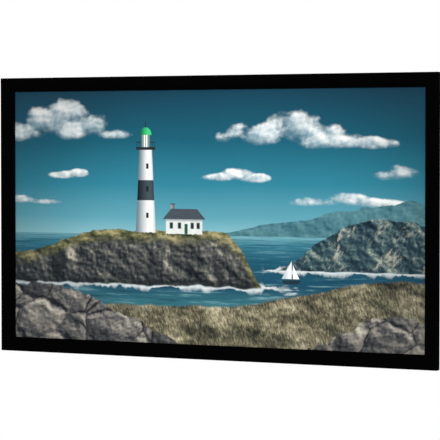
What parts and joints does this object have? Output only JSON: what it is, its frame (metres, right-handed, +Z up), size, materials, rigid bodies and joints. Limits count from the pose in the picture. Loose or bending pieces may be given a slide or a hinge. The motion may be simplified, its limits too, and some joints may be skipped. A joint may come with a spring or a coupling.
{
  "type": "fixed frame projector screen",
  "caption": "Wall-hung widescreen projector screen: mitred aluminium rails wrapped in black velvet, and a white vinyl sheet drawn flat by hem rods and clips.",
  "frame": {"origin": "centre of the whole box: the middle of the picture, halfway between the frame's front face and the wall", "axes": "+X along the picture to the viewer's right, +Y from the picture back to the wall, +Z up"},
  "size_m": [2.5908, 0.0446, 1.524],
  "materials": {
    "black_velvet": "matt flocked velvet",
    "rail_aluminium": "mill finish extrusion",
    "screen_vinyl": "matt coated vinyl",
    "fibreglass_rod": "drawn fibreglass",
    "clip_nylon": "moulded nylon",
    "zinc_steel": "zinc plated",
    "bumper_rubber": "matt rubber"
  },
  "bodies": {
    "root": {"rail_top": "rail_aluminium", "velvet_top": "black_velvet", "hem_rod_top": "fibreglass_rod", "tension_clip_top_1": "clip_nylon", "tension_clip_top_2": "clip_nylon", "tension_clip_top_3": "clip_nylon", "tension_clip_top_4": "clip_nylon", "tension_clip_top_5": "clip_nylon", "tension_clip_top_6": "clip_nylon", "tension_clip_top_7": "clip_nylon", "tension_clip_top_8": "clip_nylon", "tension_clip_top_9": "clip_nylon", "tension_clip_top_10": "clip_nylon", "rail_right": "rail_aluminium", "velvet_right": "black_velvet", "hem_rod_right": "fibreglass_rod", "tension_clip_right_1": "clip_nylon", "tension_clip_right_2": "clip_nylon", "tension_clip_right_3": "clip_nylon", "tension_clip_right_4": "clip_nylon", "tension_clip_right_5": "clip_nylon", "tension_clip_right_6": "clip_nylon", "rail_bottom": "rail_aluminium", "velvet_bottom": "black_velvet", "hem_rod_bottom": "fibreglass_rod", "tension_clip_bottom_1": "clip_nylon", "tension_clip_bottom_2": "clip_nylon", "tension_clip_bottom_3": "clip_nylon", "tension_clip_bottom_4": "clip_nylon", "tension_clip_bottom_5": "clip_nylon", "tension_clip_bottom_6": "clip_nylon", "tension_clip_bottom_7": "clip_nylon", "tension_clip_bottom_8": "clip_nylon", "tension_clip_bottom_9": "clip_nylon", "tension_clip_bottom_10": "clip_nylon", "rail_left": "rail_aluminium", "velvet_left": "black_velvet", "hem_rod_left": "fibreglass_rod", "tension_clip_left_1": "clip_nylon", "tension_clip_left_2": "clip_nylon", "tension_clip_left_3": "clip_nylon", "tension_clip_left_4": "clip_nylon", "tension_clip_left_5": "clip_nylon", "tension_clip_left_6": "clip_nylon", "projection_sheet": "screen_vinyl", "corner_key_top_right": "zinc_steel", "corner_key_bottom_right": "zinc_steel", "corner_key_bottom_left": "zinc_steel", "corner_key_top_left": "zinc_steel", "centre_brace": "rail_aluminium", "brace_strap_top": "zinc_steel", "brace_screw_top": "zinc_steel", "brace_strap_bottom": "zinc_steel", "brace_screw_bottom": "zinc_steel", "wall_bracket_left": "zinc_steel", "wall_bumper_left": "bumper_rubber", "wall_bracket_right": "zinc_steel", "wall_bumper_right": "bumper_rubber"}
  },
  "joints": []
}
